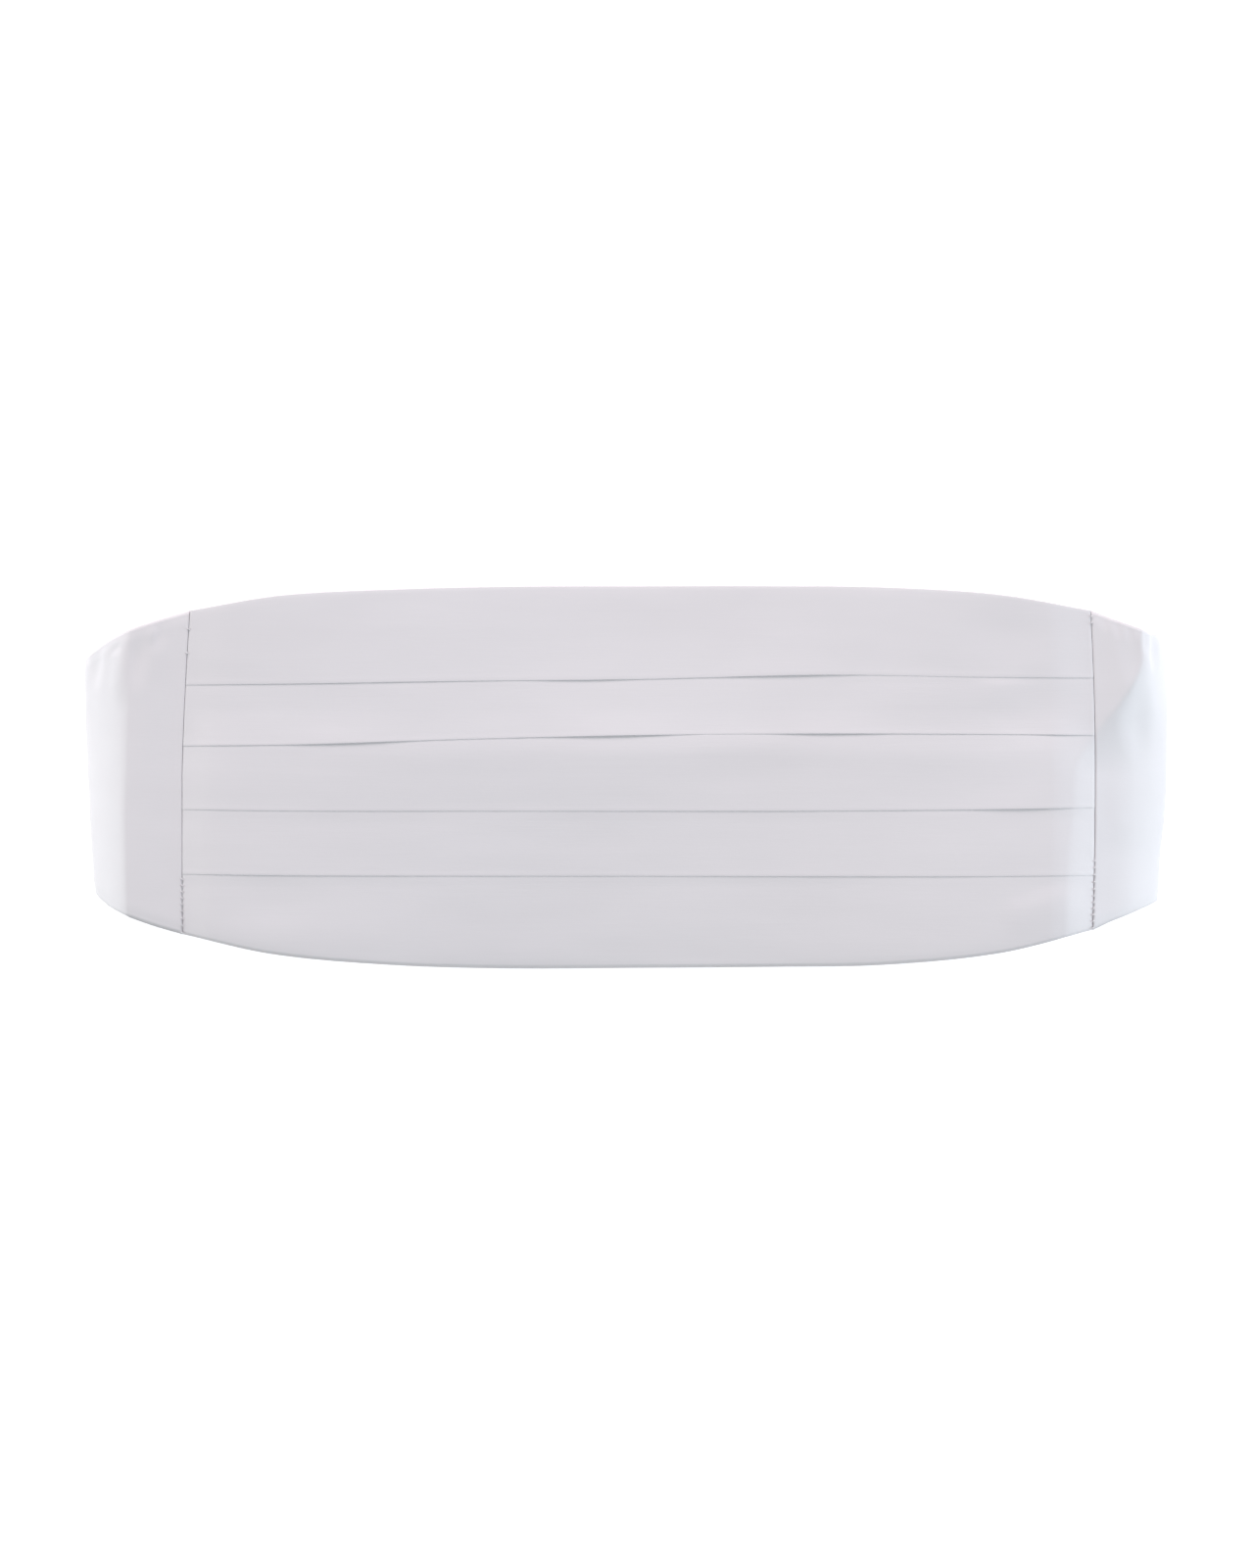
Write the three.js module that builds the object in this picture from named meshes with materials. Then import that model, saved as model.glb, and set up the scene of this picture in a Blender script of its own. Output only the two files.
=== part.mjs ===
// A satin cummerbund with four pleats, fastened behind and lying on its back with the front up.
// Millimetres. +X runs to the right along the sash, +Y to its upper edge, and +Z up from the surface
// that it lies on. The origin is on that surface, under the middle of the folded sash.

import * as THREE from "three";

const { clamp, lerp, smoothstep } = THREE.MathUtils;

// The sash as a whole
const sashHeight = 120; // upper edge to lower edge at the middle of the front
const endLean = 3.5; // how much further in the lower corners of the end bends are
const bendHeight = 36; // from the surface to the outer face where an end bend begins
const frontSag = 6; // how far the middle of the front hangs below that face
const ridgeHeight = 10; // above mid height, the front has a soft ridge along its middle
const ridgeRound = 6; // half width over which it is rounded
const ridgeSlope = 0.045; // how steeply the front falls from it to both long edges
const gap = 0.3; // between neighbouring pieces

// Pleated front
const frontWidth = 286; // seam to seam at mid height
const tabShown = 27.5; // width of a tab that shows beside the front, the mean of left and right
const frontShift = 4; // the front's middle is this far right of the sash's middle
const leftSeamLean = 2; // the top of the left seam leans in by this much
const rightSeamBow = 1.2; // both ends of the right seam lie in by this much
const pleatFloor = 1.3; // backing and one layer of cloth, where a pleat comes out from under a fold
const foldWall = 1; // the folded edge that lies on the next pleat
const foldGap = 0.3; // air under a folded edge that lies flat
const foldDepth = 8; // how far the air reaches in under a folded edge
const foldNose = 0.35; // how far the round of a folded edge stands out
const hemRoll = 2.5; // width of the rolled upper and lower edges
const hemWall = 1; // their thickness at the very edge
const pressedLength = 12; // beside each seam the folds are pressed flatter over this length
const pressedShare = 0.8; // and this share of their height is left at the seam
const seamDip = 1.2; // how far the cloth is drawn in at a seam
const seamDipReach = 14; // and how far from the seam that starts
const dentDepth = 0.6; // of a dent in the front whose share is 1
const puckerDepth = 0.8; // of a pucker in a tab whose share is 1

// End tabs
const tabWall = 2;
const tabLength = 108; // along the cloth, from the seam round the bend to the narrow end
const tabEndWidth = 36; // width of the narrow end
const seamBlend = 8; // length beside the seam over which its thickness turns to face straight out
const bendPower = 1.4; // 2 bends an end in an ellipse, 1 in a straight slope and a crease
const leftReach = 14; // how far in from the left end its face starts to curve down
const rightReachUpper = 9; // the same at the right end's upper corner, which is bent sharply
const rightReachLower = 26; // and at its lower corner, which is bent softly
const rightReachStart = 38; // height above mid height where the sharp bend begins to soften
const rightReachEnd = 0; // height where it is fully soft
const backReach = 18; // the same on the side that lies on the surface

// Back straps and clasp
const strapWidth = 25;
const strapWall = 1.5;
const strapLap = 14; // length sewn inside the tab's narrow end
const strapFlat = 4; // it stays level this far past the tab's end
const strapDrop = 16; // length over which it comes down onto the surface
const strapReturn = 20; // length that is folded back round the clasp's bar
const strapSewn = 8; // end of that length which is sewn down flat
const claspLength = 34;
const claspWidth = 33;
const claspWall = 2.4;
const claspCorner = 4; // corner radius
const barWidth = 3; // between a slot and the clasp's end
const slotLength = 5;
const slotMargin = 1; // each slot is wider than the strap by this much at both sides

const halfHeight = sashHeight / 2;
const halfFront = frontWidth / 2;
const halfBend = bendHeight / 2;
const foldedWidth = frontWidth + 2 * tabShown; // from end bend to end bend, at their upper corners

// The edges of the front, as shares of half its width and of half the sash's height.
const frontOutline = [
  { along: -1.0, upper: 0.871, lower: 0.82 },
  { along: -0.8, upper: 0.95, lower: 0.925 },
  { along: -0.55, upper: 0.982, lower: 0.98 },
  { along: -0.3, upper: 0.997, lower: 1.0 },
  { along: 0.0, upper: 1.0, lower: 0.998 },
  { along: 0.3, upper: 1.0, lower: 0.992 },
  { along: 0.55, upper: 0.992, lower: 0.98 },
  { along: 0.8, upper: 0.953, lower: 0.918 },
  { along: 1.0, upper: 0.871, lower: 0.798 },
];

// How far in the end bends lie below their upper corners, as shares of endLean, by the share of half the
// sash's height.
const endOutline = [
  { along: -0.65, left: 1.0, right: 0.88 },
  { along: -0.4, left: 0.74, right: 0.66 },
  { along: -0.2, left: 0.52, right: 0.28 },
  { along: 0.0, left: 0.36, right: 0.1 },
  { along: 0.3, left: 0.12, right: 0.02 },
  { along: 0.65, left: 0.0, right: 0.0 },
];

// The four folded edges, as shares of the same sizes, from the top fold down.
const foldLines = [
  { along: -1.0, first: 0.481, second: 0.163, third: -0.169, fourth: -0.506 },
  { along: -0.75, first: 0.488, second: 0.17, third: -0.176, fourth: -0.513 },
  { along: -0.4, first: 0.502, second: 0.197, third: -0.177, fourth: -0.516 },
  { along: 0.0, first: 0.512, second: 0.219, third: -0.177, fourth: -0.517 },
  { along: 0.4, first: 0.534, second: 0.227, third: -0.176, fourth: -0.518 },
  { along: 0.75, first: 0.522, second: 0.224, third: -0.169, fourth: -0.518 },
  { along: 1.0, first: 0.518, second: 0.219, third: -0.159, fourth: -0.512 },
];
const foldNames = ["first", "second", "third", "fourth"];

// Places where a folded edge stands open: its middle and half length as shares of half the front's
// width, and how far it is lifted as a share of the folded edge's thickness.
const openings = [
  { fold: "first", at: -0.13, spread: 0.16, lift: 0.4 },
  { fold: "first", at: 0.32, spread: 0.2, lift: 0.5 },
  { fold: "second", at: -0.64, spread: 0.18, lift: 0.5 },
  { fold: "second", at: -0.05, spread: 0.2, lift: 0.6 },
  { fold: "second", at: 0.42, spread: 0.16, lift: 0.4 },
  { fold: "third", at: 0.84, spread: 0.14, lift: 0.4 },
];

// Soft dents in the front, by the same shares: middle, half length, half height and depth. A negative
// depth stands out.
const dents = [
  { at: 0.87, up: 0.37, long: 0.12, tall: 0.24, deep: 0.9 },
  { at: 0.8, up: 0.72, long: 0.14, tall: 0.22, deep: 0.6 },
  { at: 0.62, up: 0.4, long: 0.2, tall: 0.22, deep: -0.3 },
  { at: 0.7, up: -0.03, long: 0.26, tall: 0.2, deep: 0.3 },
  { at: 0.3, up: 0.03, long: 0.36, tall: 0.2, deep: 0.3 },
  { at: -0.1, up: -0.33, long: 0.35, tall: 0.16, deep: 0.4 },
  { at: -0.8, up: -0.66, long: 0.16, tall: 0.2, deep: 0.5 },
  { at: 0.1, up: -0.92, long: 0.6, tall: 0.18, deep: 0.3 },
];

// Puckers in the tabs: shares of the tab's length and width, and depth. A negative depth stands out.
const puckers = [
  { side: -1, along: 0.14, across: 0.9, long: 0.05, wide: 0.14, deep: 0.8 },
  { side: -1, along: 0.2, across: 0.86, long: 0.05, wide: 0.16, deep: -0.6 },
  { side: -1, along: 0.3, across: 0.93, long: 0.05, wide: 0.12, deep: 1.0 },
  { side: 1, along: 0.12, across: 0.9, long: 0.06, wide: 0.14, deep: 0.6 },
  { side: 1, along: 0.14, across: 0.68, long: 0.08, wide: 0.16, deep: 0.9 },
  { side: 1, along: 0.2, across: 0.93, long: 0.04, wide: 0.1, deep: 1.0 },
];

// How far the edges of each tab have come in, from 0 at the seam to 1 at its narrow end, by the share of
// its length.
const tabTaper = [
  { along: 0.0, leftUpper: 0.0, leftLower: 0.0, rightUpper: 0.0, rightLower: 0.0 },
  { along: 0.08, leftUpper: 0.075, leftLower: 0.08, rightUpper: 0.095, rightLower: 0.105 },
  { along: 0.17, leftUpper: 0.17, leftLower: 0.19, rightUpper: 0.19, rightLower: 0.215 },
  { along: 0.25, leftUpper: 0.27, leftLower: 0.28, rightUpper: 0.235, rightLower: 0.3 },
  { along: 0.34, leftUpper: 0.39, leftLower: 0.39, rightUpper: 0.34, rightLower: 0.38 },
  { along: 0.6, leftUpper: 0.74, leftLower: 0.74, rightUpper: 0.7, rightLower: 0.7 },
  { along: 0.85, leftUpper: 0.96, leftLower: 0.96, rightUpper: 0.95, rightLower: 0.95 },
  { along: 1.0, leftUpper: 1.0, leftLower: 1.0, rightUpper: 1.0, rightLower: 1.0 },
];

// How far up a pleat's face stands from the pleat's floor to its folded edge, as shares of that step.
const hemRise = 0.33; // at the rolled hem of the first and last pleat
const middleRise = 0.45; // half way down the pleat
const rootRise = 0.72; // where the air under its folded edge ends
const lastRise = 0.3; // half way down the last pleat
const liftCarried = 0.2; // share of a folded edge's lift that is left where the air ends

const frontSteps = 40; // sections along the front
const tabSteps = 40; // sections along a tab
const bendSteps = 16; // points on the curve of an end bend
const tabRows = [0, 0.03, 0.1, 0.25, 0.42, 0.58, 0.75, 0.9, 0.97, 1]; // shares of a tab's width
const satin = new THREE.MeshStandardMaterial({ color: 0xdfdadf, roughness: 0.42, metalness: 0 });
const webbing = new THREE.MeshStandardMaterial({ color: 0xe4e2e2, roughness: 0.85, metalness: 0 });
const plastic = new THREE.MeshStandardMaterial({ color: 0xeceaea, roughness: 0.35, metalness: 0 });

// A smooth curve through one column of a table.
function fromTable(rows, column, along) {
  const last = rows.length - 1;
  const at = clamp(along, rows[0].along, rows[last].along);
  const i = clamp(rows.findIndex((row) => row.along > at) - 1, 0, last - 1);
  const k = at >= rows[last].along ? last - 1 : i;
  const slope = (a, b) => (rows[b][column] - rows[a][column]) / (rows[b].along - rows[a].along);
  const width = rows[k + 1].along - rows[k].along;
  const t = (at - rows[k].along) / width;
  const startSlope = slope(Math.max(k - 1, 0), k + 1) * width;
  const endSlope = slope(k, Math.min(k + 2, last)) * width;
  const [t2, t3] = [t * t, t * t * t];
  return (
    (2 * t3 - 3 * t2 + 1) * rows[k][column] +
    (t3 - 2 * t2 + t) * startSlope +
    (3 * t2 - 2 * t3) * rows[k + 1][column] +
    (t3 - t2) * endSlope
  );
}

// The x of the seam on one side (-1 left, 1 right) at a height.
function seamX(side, y) {
  const t = clamp(y / halfHeight, -1, 1);
  const inset = side < 0 ? leftSeamLean * Math.max(t, 0) ** 2 : rightSeamBow * t ** 2;
  return frontShift + side * (halfFront - inset);
}

// How far out the end bend on one side reaches at a height.
function endX(side, y) {
  const column = side < 0 ? "left" : "right";
  return foldedWidth / 2 - endLean * fromTable(endOutline, column, y / halfHeight);
}

// How far in from its end the face on one side starts to curve down, at a height.
function bendReach(side, y) {
  if (side < 0) return leftReach;
  return lerp(rightReachLower, rightReachUpper, smoothstep(y, rightReachEnd, rightReachStart));
}

// How much of its height an end bend still has, by the share of its reach.
const bendShare = (out) => (1 - clamp(out, 0, 1) ** bendPower) ** (1 / bendPower);

// A rounded dent's share of its depth, from 1 at its middle to 0 at its edge.
function dentShare(aside, above) {
  const off = Math.min(1, Math.hypot(aside, above));
  return Math.cos((Math.PI / 2) * off) ** 2;
}

// How far the cloth is drawn in at a distance from the seam.
const dipAt = (distance) => seamDip * (1 - smoothstep(distance, 0, seamDipReach));

// How far the front has fallen from its ridge. Beside the seams it has none.
function ridgeFall(along, y) {
  const off = Math.hypot(y - ridgeHeight, ridgeRound) - ridgeRound;
  return ridgeSlope * off * Math.cos((Math.PI / 2) * along) ** 2;
}

// Height of the outer face above the surface, anywhere on the front.
function faceHeight(x, y) {
  const side = x < 0 ? -1 : 1;
  const reach = bendReach(side, y);
  const into = Math.max(0, Math.abs(x) - (endX(side, y) - reach));
  const along = clamp((x - frontShift) / halfFront, -1, 1);
  const sag = frontSag * Math.cos((Math.PI / 2) * along) ** 2;
  const dent = dents.reduce((sum, d) => {
    const share = dentShare((along - d.at) / d.long, (y / halfHeight - d.up) / d.tall);
    return sum + dentDepth * d.deep * share;
  }, 0);
  const bend = halfBend + halfBend * bendShare(into / reach);
  return bend - sag - ridgeFall(along, y) - dipAt(Math.abs(x - seamX(side, y))) - dent;
}

// A closed mesh from rings of points. Caps are lists of ring indices, each drawn as a fan.
function loft(rings, caps) {
  const count = rings[0].length;
  const index = [];
  for (let i = 0; i + 1 < rings.length; i++) {
    for (let j = 0; j < count; j++) {
      const next = (j + 1) % count;
      const [a, b] = [i * count + j, i * count + next];
      index.push(a, b, a + count, b, b + count, a + count);
    }
  }
  const lastRing = (rings.length - 1) * count;
  for (const fan of caps) {
    for (let j = 1; j + 1 < fan.length; j++) {
      index.push(fan[0], fan[j + 1], fan[j]);
      index.push(lastRing + fan[0], lastRing + fan[j], lastRing + fan[j + 1]);
    }
  }
  const geometry = new THREE.BufferGeometry().setFromPoints(rings.flat());
  geometry.setIndex(index);
  geometry.computeVertexNormals();
  return geometry;
}

// How far a folded edge is lifted at a share of half the front's width.
function foldLift(name, along) {
  const here = openings.filter((o) => o.fold === name && Math.abs(along - o.at) < o.spread);
  return here.reduce((sum, o) => {
    const bump = Math.cos(((along - o.at) / o.spread) * (Math.PI / 2)) ** 2;
    return sum + o.lift * foldWall * bump;
  }, 0);
}

// One section across the front: [y, height above the inner face] points, as one closed ring that goes up
// the inner face and down the outer one, and the fans that fill it.
function frontSection(along) {
  const upper = halfHeight * fromTable(frontOutline, "upper", along);
  const lower = -halfHeight * fromTable(frontOutline, "lower", along);
  const toSeam = halfFront * (1 - Math.abs(along));
  const pressed = lerp(pressedShare, 1, smoothstep(toSeam, 0, pressedLength));
  const step = (foldWall + foldGap) * pressed;
  const folds = foldNames.map((name) => {
    const lift = foldLift(name, along);
    return { y: halfHeight * fromTable(foldLines, name, along), lift };
  });
  const ring = [];
  const put = (y, h) => ring.push([y, h]) - 1;
  const topOf = (i) => (i === 0 ? upper : folds[i - 1].y);
  const middleOf = (i) => (topOf(i) + (i < folds.length ? folds[i].y + foldDepth : lower)) / 2;

  // The inner face, from the lower edge up.
  const innerLower = put(lower, pleatFloor - hemWall);
  const innerMiddle = [];
  const innerAt = [];
  innerMiddle[folds.length] = put(middleOf(folds.length), 0);
  for (let i = folds.length - 1; i >= 0; i--) {
    innerAt[i] = [put(folds[i].y, 0), put(folds[i].y + foldDepth, 0)];
    innerMiddle[i] = put(middleOf(i), 0);
  }
  const innerUpper = put(upper, pleatFloor - hemWall);

  // The outer face, from the upper edge down.
  const caps = [];
  const hemTop = pleatFloor + hemRise * step;
  let above = [innerUpper, put(upper, pleatFloor), put(upper - hemRoll, hemTop)];
  folds.forEach((fold, i) => {
    const top = pleatFloor + step + fold.lift;
    const wall = foldWall * pressed;
    const middle = put(middleOf(i), pleatFloor + middleRise * step);
    const rootTopHeight = pleatFloor + rootRise * step + liftCarried * fold.lift;
    const rootTop = put(fold.y + foldDepth, rootTopHeight);
    const lipTop = put(fold.y, top);
    const nose = put(fold.y - foldNose, top - wall / 2);
    const lipUnder = put(fold.y, top - wall);
    const airTop = put(fold.y + foldDepth, pleatFloor);
    const airEnd = put(fold.y + foldDepth, pleatFloor - foldGap * pressed);
    const floor = put(fold.y, pleatFloor);
    const [innerHere, innerRoot] = innerAt[i];
    caps.push([middle, rootTop, airTop, airEnd, innerRoot, innerMiddle[i], ...above]);
    caps.push([airTop, rootTop, lipTop, nose, lipUnder]);
    caps.push([innerHere, innerRoot, airEnd, floor]);
    above = [innerHere, floor];
  });
  const middle = put(middleOf(folds.length), pleatFloor + lastRise * step);
  const hem = put(lower + hemRoll, hemTop);
  const edge = put(lower, pleatFloor);
  caps.push([middle, hem, edge, innerLower, innerMiddle[folds.length], ...above]);
  return { ring, caps };
}

function pleatedFront() {
  const sections = [];
  for (let i = 0; i <= frontSteps; i++) sections.push(frontSection((2 * i) / frontSteps - 1));
  const rings = sections.map(({ ring }, i) => {
    const share = i / frontSteps;
    return ring.map(([y, h]) => {
      const x = lerp(seamX(-1, y) + gap / 2, seamX(1, y) - gap / 2, share);
      return new THREE.Vector3(x, y, faceHeight(x, y) - tabWall + h);
    });
  });
  return loft(rings, sections[0].caps);
}

// The line that a tab's outer face follows at a height, from the seam to the back.
function tabPath(side, y) {
  const [end, reach, start] = [endX(side, y), bendReach(side, y), side * seamX(side, y) + gap / 2];
  const bendStart = end - reach;
  const path = new THREE.Path();
  const first = clamp((start - bendStart) / reach, 0, 1);
  path.moveTo(start, halfBend + halfBend * bendShare(first));
  if (start < bendStart) path.lineTo(bendStart, bendHeight);
  const turned = Math.asin(first ** (bendPower / 2));
  const bend = [];
  for (let i = 1; i <= bendSteps; i++) {
    const angle = lerp(turned, Math.PI / 2, i / bendSteps);
    const out = Math.sin(angle) ** (2 / bendPower);
    bend.push(new THREE.Vector2(bendStart + reach * out, halfBend + halfBend * bendShare(out)));
  }
  path.splineThru(bend);
  path.absellipse(end - backReach, halfBend, backReach, halfBend, 0, -Math.PI / 2, true);
  path.lineTo(0, 0);
  return path;
}

// A point on that line and the direction out of the cloth there. At the seam that is straight up, as it
// is all over the front, so that the two stay a gap apart.
function onTab(side, y, distance) {
  const path = tabPath(side, y);
  const t = distance / path.getLength();
  const point = path.getPoint(t);
  const tangent = path.getTangent(t);
  const out = new THREE.Vector2(-tangent.y, tangent.x);
  out.lerpVectors(new THREE.Vector2(0, 1), out, smoothstep(distance, 0, seamBlend)).normalize();
  return { x: side * point.x, z: point.y, outX: side * out.x, outZ: out.y };
}

function endTab(side) {
  const [upperColumn, lowerColumn] = side < 0 ? ["leftUpper", "leftLower"] : ["rightUpper", "rightLower"];
  const seamRow = frontOutline[side < 0 ? 0 : frontOutline.length - 1];
  const rings = [];
  for (let i = 0; i <= tabSteps; i++) {
    const along = i / tabSteps;
    const upperTaper = fromTable(tabTaper, upperColumn, along);
    const lowerTaper = fromTable(tabTaper, lowerColumn, along);
    const upper = lerp(seamRow.upper * halfHeight, tabEndWidth / 2, upperTaper);
    const lower = lerp(-seamRow.lower * halfHeight, -tabEndWidth / 2, lowerTaper);
    const outer = [];
    const inner = [];
    for (const share of tabRows) {
      const y = lerp(lower, upper, share);
      const distance = along * (tabLength - gap);
      const { x, z, outX, outZ } = onTab(side, y, distance);
      const sunk = puckers.reduce((sum, p) => {
        const near = dentShare((along - p.along) / p.long, (share - p.across) / p.wide);
        return p.side === side ? sum + puckerDepth * p.deep * near : sum;
      }, dipAt(distance));
      const thin = share === 0 || share === 1 ? (tabWall - hemWall) / 2 : 0;
      const outside = thin + sunk;
      outer.push(new THREE.Vector3(x - outX * outside, y, z - outZ * outside));
      const inside = tabWall - thin + sunk;
      inner.push(new THREE.Vector3(x - outX * inside, y, z - outZ * inside));
    }
    rings.push([...outer, ...inner.reverse()]);
  }
  const last = 2 * tabRows.length - 1;
  const caps = tabRows.slice(1).map((_, j) => [j, j + 1, last - j - 1, last - j]);
  return loft(side < 0 ? rings : rings.reverse(), caps);
}

// A band of one thickness that follows a path in x and z, and lies evenly on both sides of y = 0.
function ribbon(points, thickness, width) {
  const sideOf = (sign) =>
    points.map((point, i) => {
      const before = points[Math.max(i - 1, 0)];
      const after = points[Math.min(i + 1, points.length - 1)];
      const along = new THREE.Vector2().subVectors(after, before).normalize();
      const out = new THREE.Vector2(-along.y, along.x).multiplyScalar((sign * thickness) / 2);
      return new THREE.Vector2().addVectors(point, out);
    });
  const outline = new THREE.Shape([...sideOf(1), ...sideOf(-1).reverse()]);
  const geometry = new THREE.ExtrudeGeometry(outline, { depth: width, bevelEnabled: false });
  return geometry.rotateX(Math.PI / 2).translate(0, width / 2, 0);
}

const tabEndX = (side) => onTab(side, 0, tabLength).x;
const claspMiddle = (tabEndX(-1) + tabEndX(1)) / 2;
const claspBottom = strapWall + gap;

// A strap's centre line: from inside the tab down to the surface, round the clasp's bar and back.
function strapLine(side) {
  const low = strapWall / 2;
  const inTab = tabWall + gap + low;
  const start = side * (tabEndX(side) - claspMiddle) + strapLap;
  const dropStart = start - strapLap - strapFlat;
  const dropEnd = dropStart - strapDrop;
  const turn = (claspWall + strapWall) / 2 + gap; // radius round the bar
  const turnX = claspLength / 2 - barWidth;
  const turnZ = claspBottom + claspWall / 2;
  const sewnZ = low + strapWall + gap;
  const barEnd = turnX + barWidth;
  const sewnStart = turnX + strapReturn - strapSewn;
  const path = new THREE.Path();
  path.moveTo(start, inTab);
  path.lineTo(dropStart, inTab);
  const dropMiddle = (dropStart + dropEnd) / 2;
  path.bezierCurveTo(dropMiddle, inTab, dropMiddle, low, dropEnd, low);
  path.lineTo(turnX, low);
  path.absarc(turnX, turnZ, turn, -Math.PI / 2, Math.PI / 2, true);
  path.lineTo(barEnd, turnZ + turn);
  const middle = (barEnd + sewnStart) / 2;
  path.bezierCurveTo(middle, turnZ + turn, middle, sewnZ, sewnStart, sewnZ);
  path.lineTo(turnX + strapReturn, sewnZ);
  return path.getPoints(10).map((p) => new THREE.Vector2(side * p.x + claspMiddle, p.y));
}

function backStrap(side) {
  const points = strapLine(side);
  return ribbon(side < 0 ? points : points.reverse(), strapWall, strapWidth);
}

// A plain flat clasp with a slot for each strap.
function clasp() {
  const [x, y] = [claspLength / 2, claspWidth / 2];
  const plate = new THREE.Shape();
  plate.moveTo(x - claspCorner, -y);
  plate.absarc(x - claspCorner, -y + claspCorner, claspCorner, -Math.PI / 2, 0);
  plate.absarc(x - claspCorner, y - claspCorner, claspCorner, 0, Math.PI / 2);
  plate.absarc(-x + claspCorner, y - claspCorner, claspCorner, Math.PI / 2, Math.PI);
  plate.absarc(-x + claspCorner, -y + claspCorner, claspCorner, Math.PI, 1.5 * Math.PI);
  const round = slotLength / 2; // radius of a slot's ends
  const slotY = strapWidth / 2 + slotMargin;
  for (const side of [-1, 1]) {
    const slotX = side * (x - barWidth - round);
    const slot = new THREE.Path();
    slot.absarc(slotX, slotY - round, round, 0, Math.PI);
    slot.absarc(slotX, -slotY + round, round, Math.PI, 2 * Math.PI);
    plate.holes.push(slot);
  }
  const options = { depth: claspWall, bevelEnabled: false, curveSegments: 6 };
  return new THREE.ExtrudeGeometry(plate, options);
}

const cummerbund = new THREE.Group();

function place(name, geometry, material, x = 0, z = 0) {
  const mesh = new THREE.Mesh(geometry, material);
  mesh.name = name;
  mesh.position.set(x, 0, z);
  cummerbund.add(mesh);
}

place("pleated_front", pleatedFront(), satin);
place("end_tab_left", endTab(-1), satin);
place("end_tab_right", endTab(1), satin);
place("back_strap_left", backStrap(-1), webbing);
place("back_strap_right", backStrap(1), webbing);
place("clasp", clasp(), plastic, claspMiddle, claspBottom);

export default cummerbund;
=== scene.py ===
# The looks of a white satin cummerbund that lies on its back, seen from straight above.
# Lengths are in millimetres and become metres when a mesh is made. +X runs right along the sash,
# +Y to its upper edge and +Z up from the surface that it lies on.

import math

import bmesh
import bpy
import numpy as np
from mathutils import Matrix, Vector, noise


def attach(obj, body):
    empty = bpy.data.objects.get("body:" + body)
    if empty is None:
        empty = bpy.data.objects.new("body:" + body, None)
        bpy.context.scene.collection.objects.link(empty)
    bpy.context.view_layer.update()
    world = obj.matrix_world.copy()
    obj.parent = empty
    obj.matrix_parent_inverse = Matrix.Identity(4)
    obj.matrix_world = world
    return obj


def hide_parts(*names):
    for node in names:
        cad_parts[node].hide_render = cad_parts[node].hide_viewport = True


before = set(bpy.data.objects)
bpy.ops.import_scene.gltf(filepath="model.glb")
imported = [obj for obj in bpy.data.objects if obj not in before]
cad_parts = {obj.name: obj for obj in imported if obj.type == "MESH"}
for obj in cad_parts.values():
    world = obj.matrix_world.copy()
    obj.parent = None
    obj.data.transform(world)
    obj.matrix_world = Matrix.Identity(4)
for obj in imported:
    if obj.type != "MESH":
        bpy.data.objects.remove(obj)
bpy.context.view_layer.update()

MM = 0.001

# Camera
IMAGE_WIDTH, IMAGE_HEIGHT = 1280, 1600
MM_PER_PIXEL = 0.3077
SASH_PIXEL = (639, 793)  # where the sash's origin is in the photograph
CAMERA_HEIGHT = 3600
MIDDLE_HEIGHT = 24  # height above the floor at which the picture's scale holds
SENSOR = 36
CAMERA_FAR = 50  # metres

camera_data = bpy.data.cameras.new("camera")
camera = bpy.data.objects.new("camera", camera_data)
bpy.context.scene.collection.objects.link(camera)
camera.location = (
    (IMAGE_WIDTH / 2 - SASH_PIXEL[0]) * MM_PER_PIXEL * MM,
    (SASH_PIXEL[1] - IMAGE_HEIGHT / 2) * MM_PER_PIXEL * MM,
    CAMERA_HEIGHT * MM,
)
camera_data.sensor_fit = "HORIZONTAL"
camera_data.sensor_width = SENSOR
camera_data.lens = SENSOR * (CAMERA_HEIGHT - MIDDLE_HEIGHT) / (IMAGE_WIDTH * MM_PER_PIXEL)
camera_data.clip_end = CAMERA_FAR
bpy.context.scene.camera = camera

# Sizes. The seams' lean, the hem's wall and the end bends' reach follow the photograph more closely
# than the part's source does, and the others are the same there.
SASH_HEIGHT = 120
FRONT_WIDTH = 286
TAB_SHOWN = 27.5
END_LEAN = 3.5
BEND_HEIGHT = 36
FRONT_SAG = 6
RIDGE_HEIGHT = 10
RIDGE_ROUND = 6
RIDGE_SLOPE = 0.045
GAP = 0.3
FRONT_SHIFT = 4
LEFT_SEAM_LEAN = 3
LEFT_SEAM_POWER = 1.4
RIGHT_SEAM_BOW = 1.2
RIGHT_SEAM_LEAN = 2
FOLD_WALL = 1.0
FOLD_DEPTH = 8
HEM_ROLL = 2.5
HEM_WALL = 0.6
PRESSED_LENGTH = 12
PRESSED_SHARE = 0.8
SEAM_DIP = 1.2
SEAM_DIP_REACH = 14
DENT_DEPTH = 0.6
PUCKER_DEPTH = 0.8
TAB_WALL = 2
TAB_LENGTH = 108
TAB_END_WIDTH = 36
SEAM_BLEND = 8
BEND_POWER = 1.4
LEFT_REACH_UPPER = 15.5
LEFT_REACH_LOWER = 11
LEFT_REACH_START = 50
LEFT_REACH_END = -45
RIGHT_REACH_UPPER = 9
RIGHT_REACH_LOWER = 30
RIGHT_REACH_START = 38
RIGHT_REACH_END = 0
BACK_REACH = 18
STRAP_WIDTH = 25
STRAP_WALL = 1.5
STRAP_LAP = 14
STRAP_FLAT = 4
STRAP_DROP = 16
STRAP_RETURN = 20
STRAP_SEWN = 8
CLASP_LENGTH = 34
CLASP_WALL = 2.4
BAR_WIDTH = 3

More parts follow.
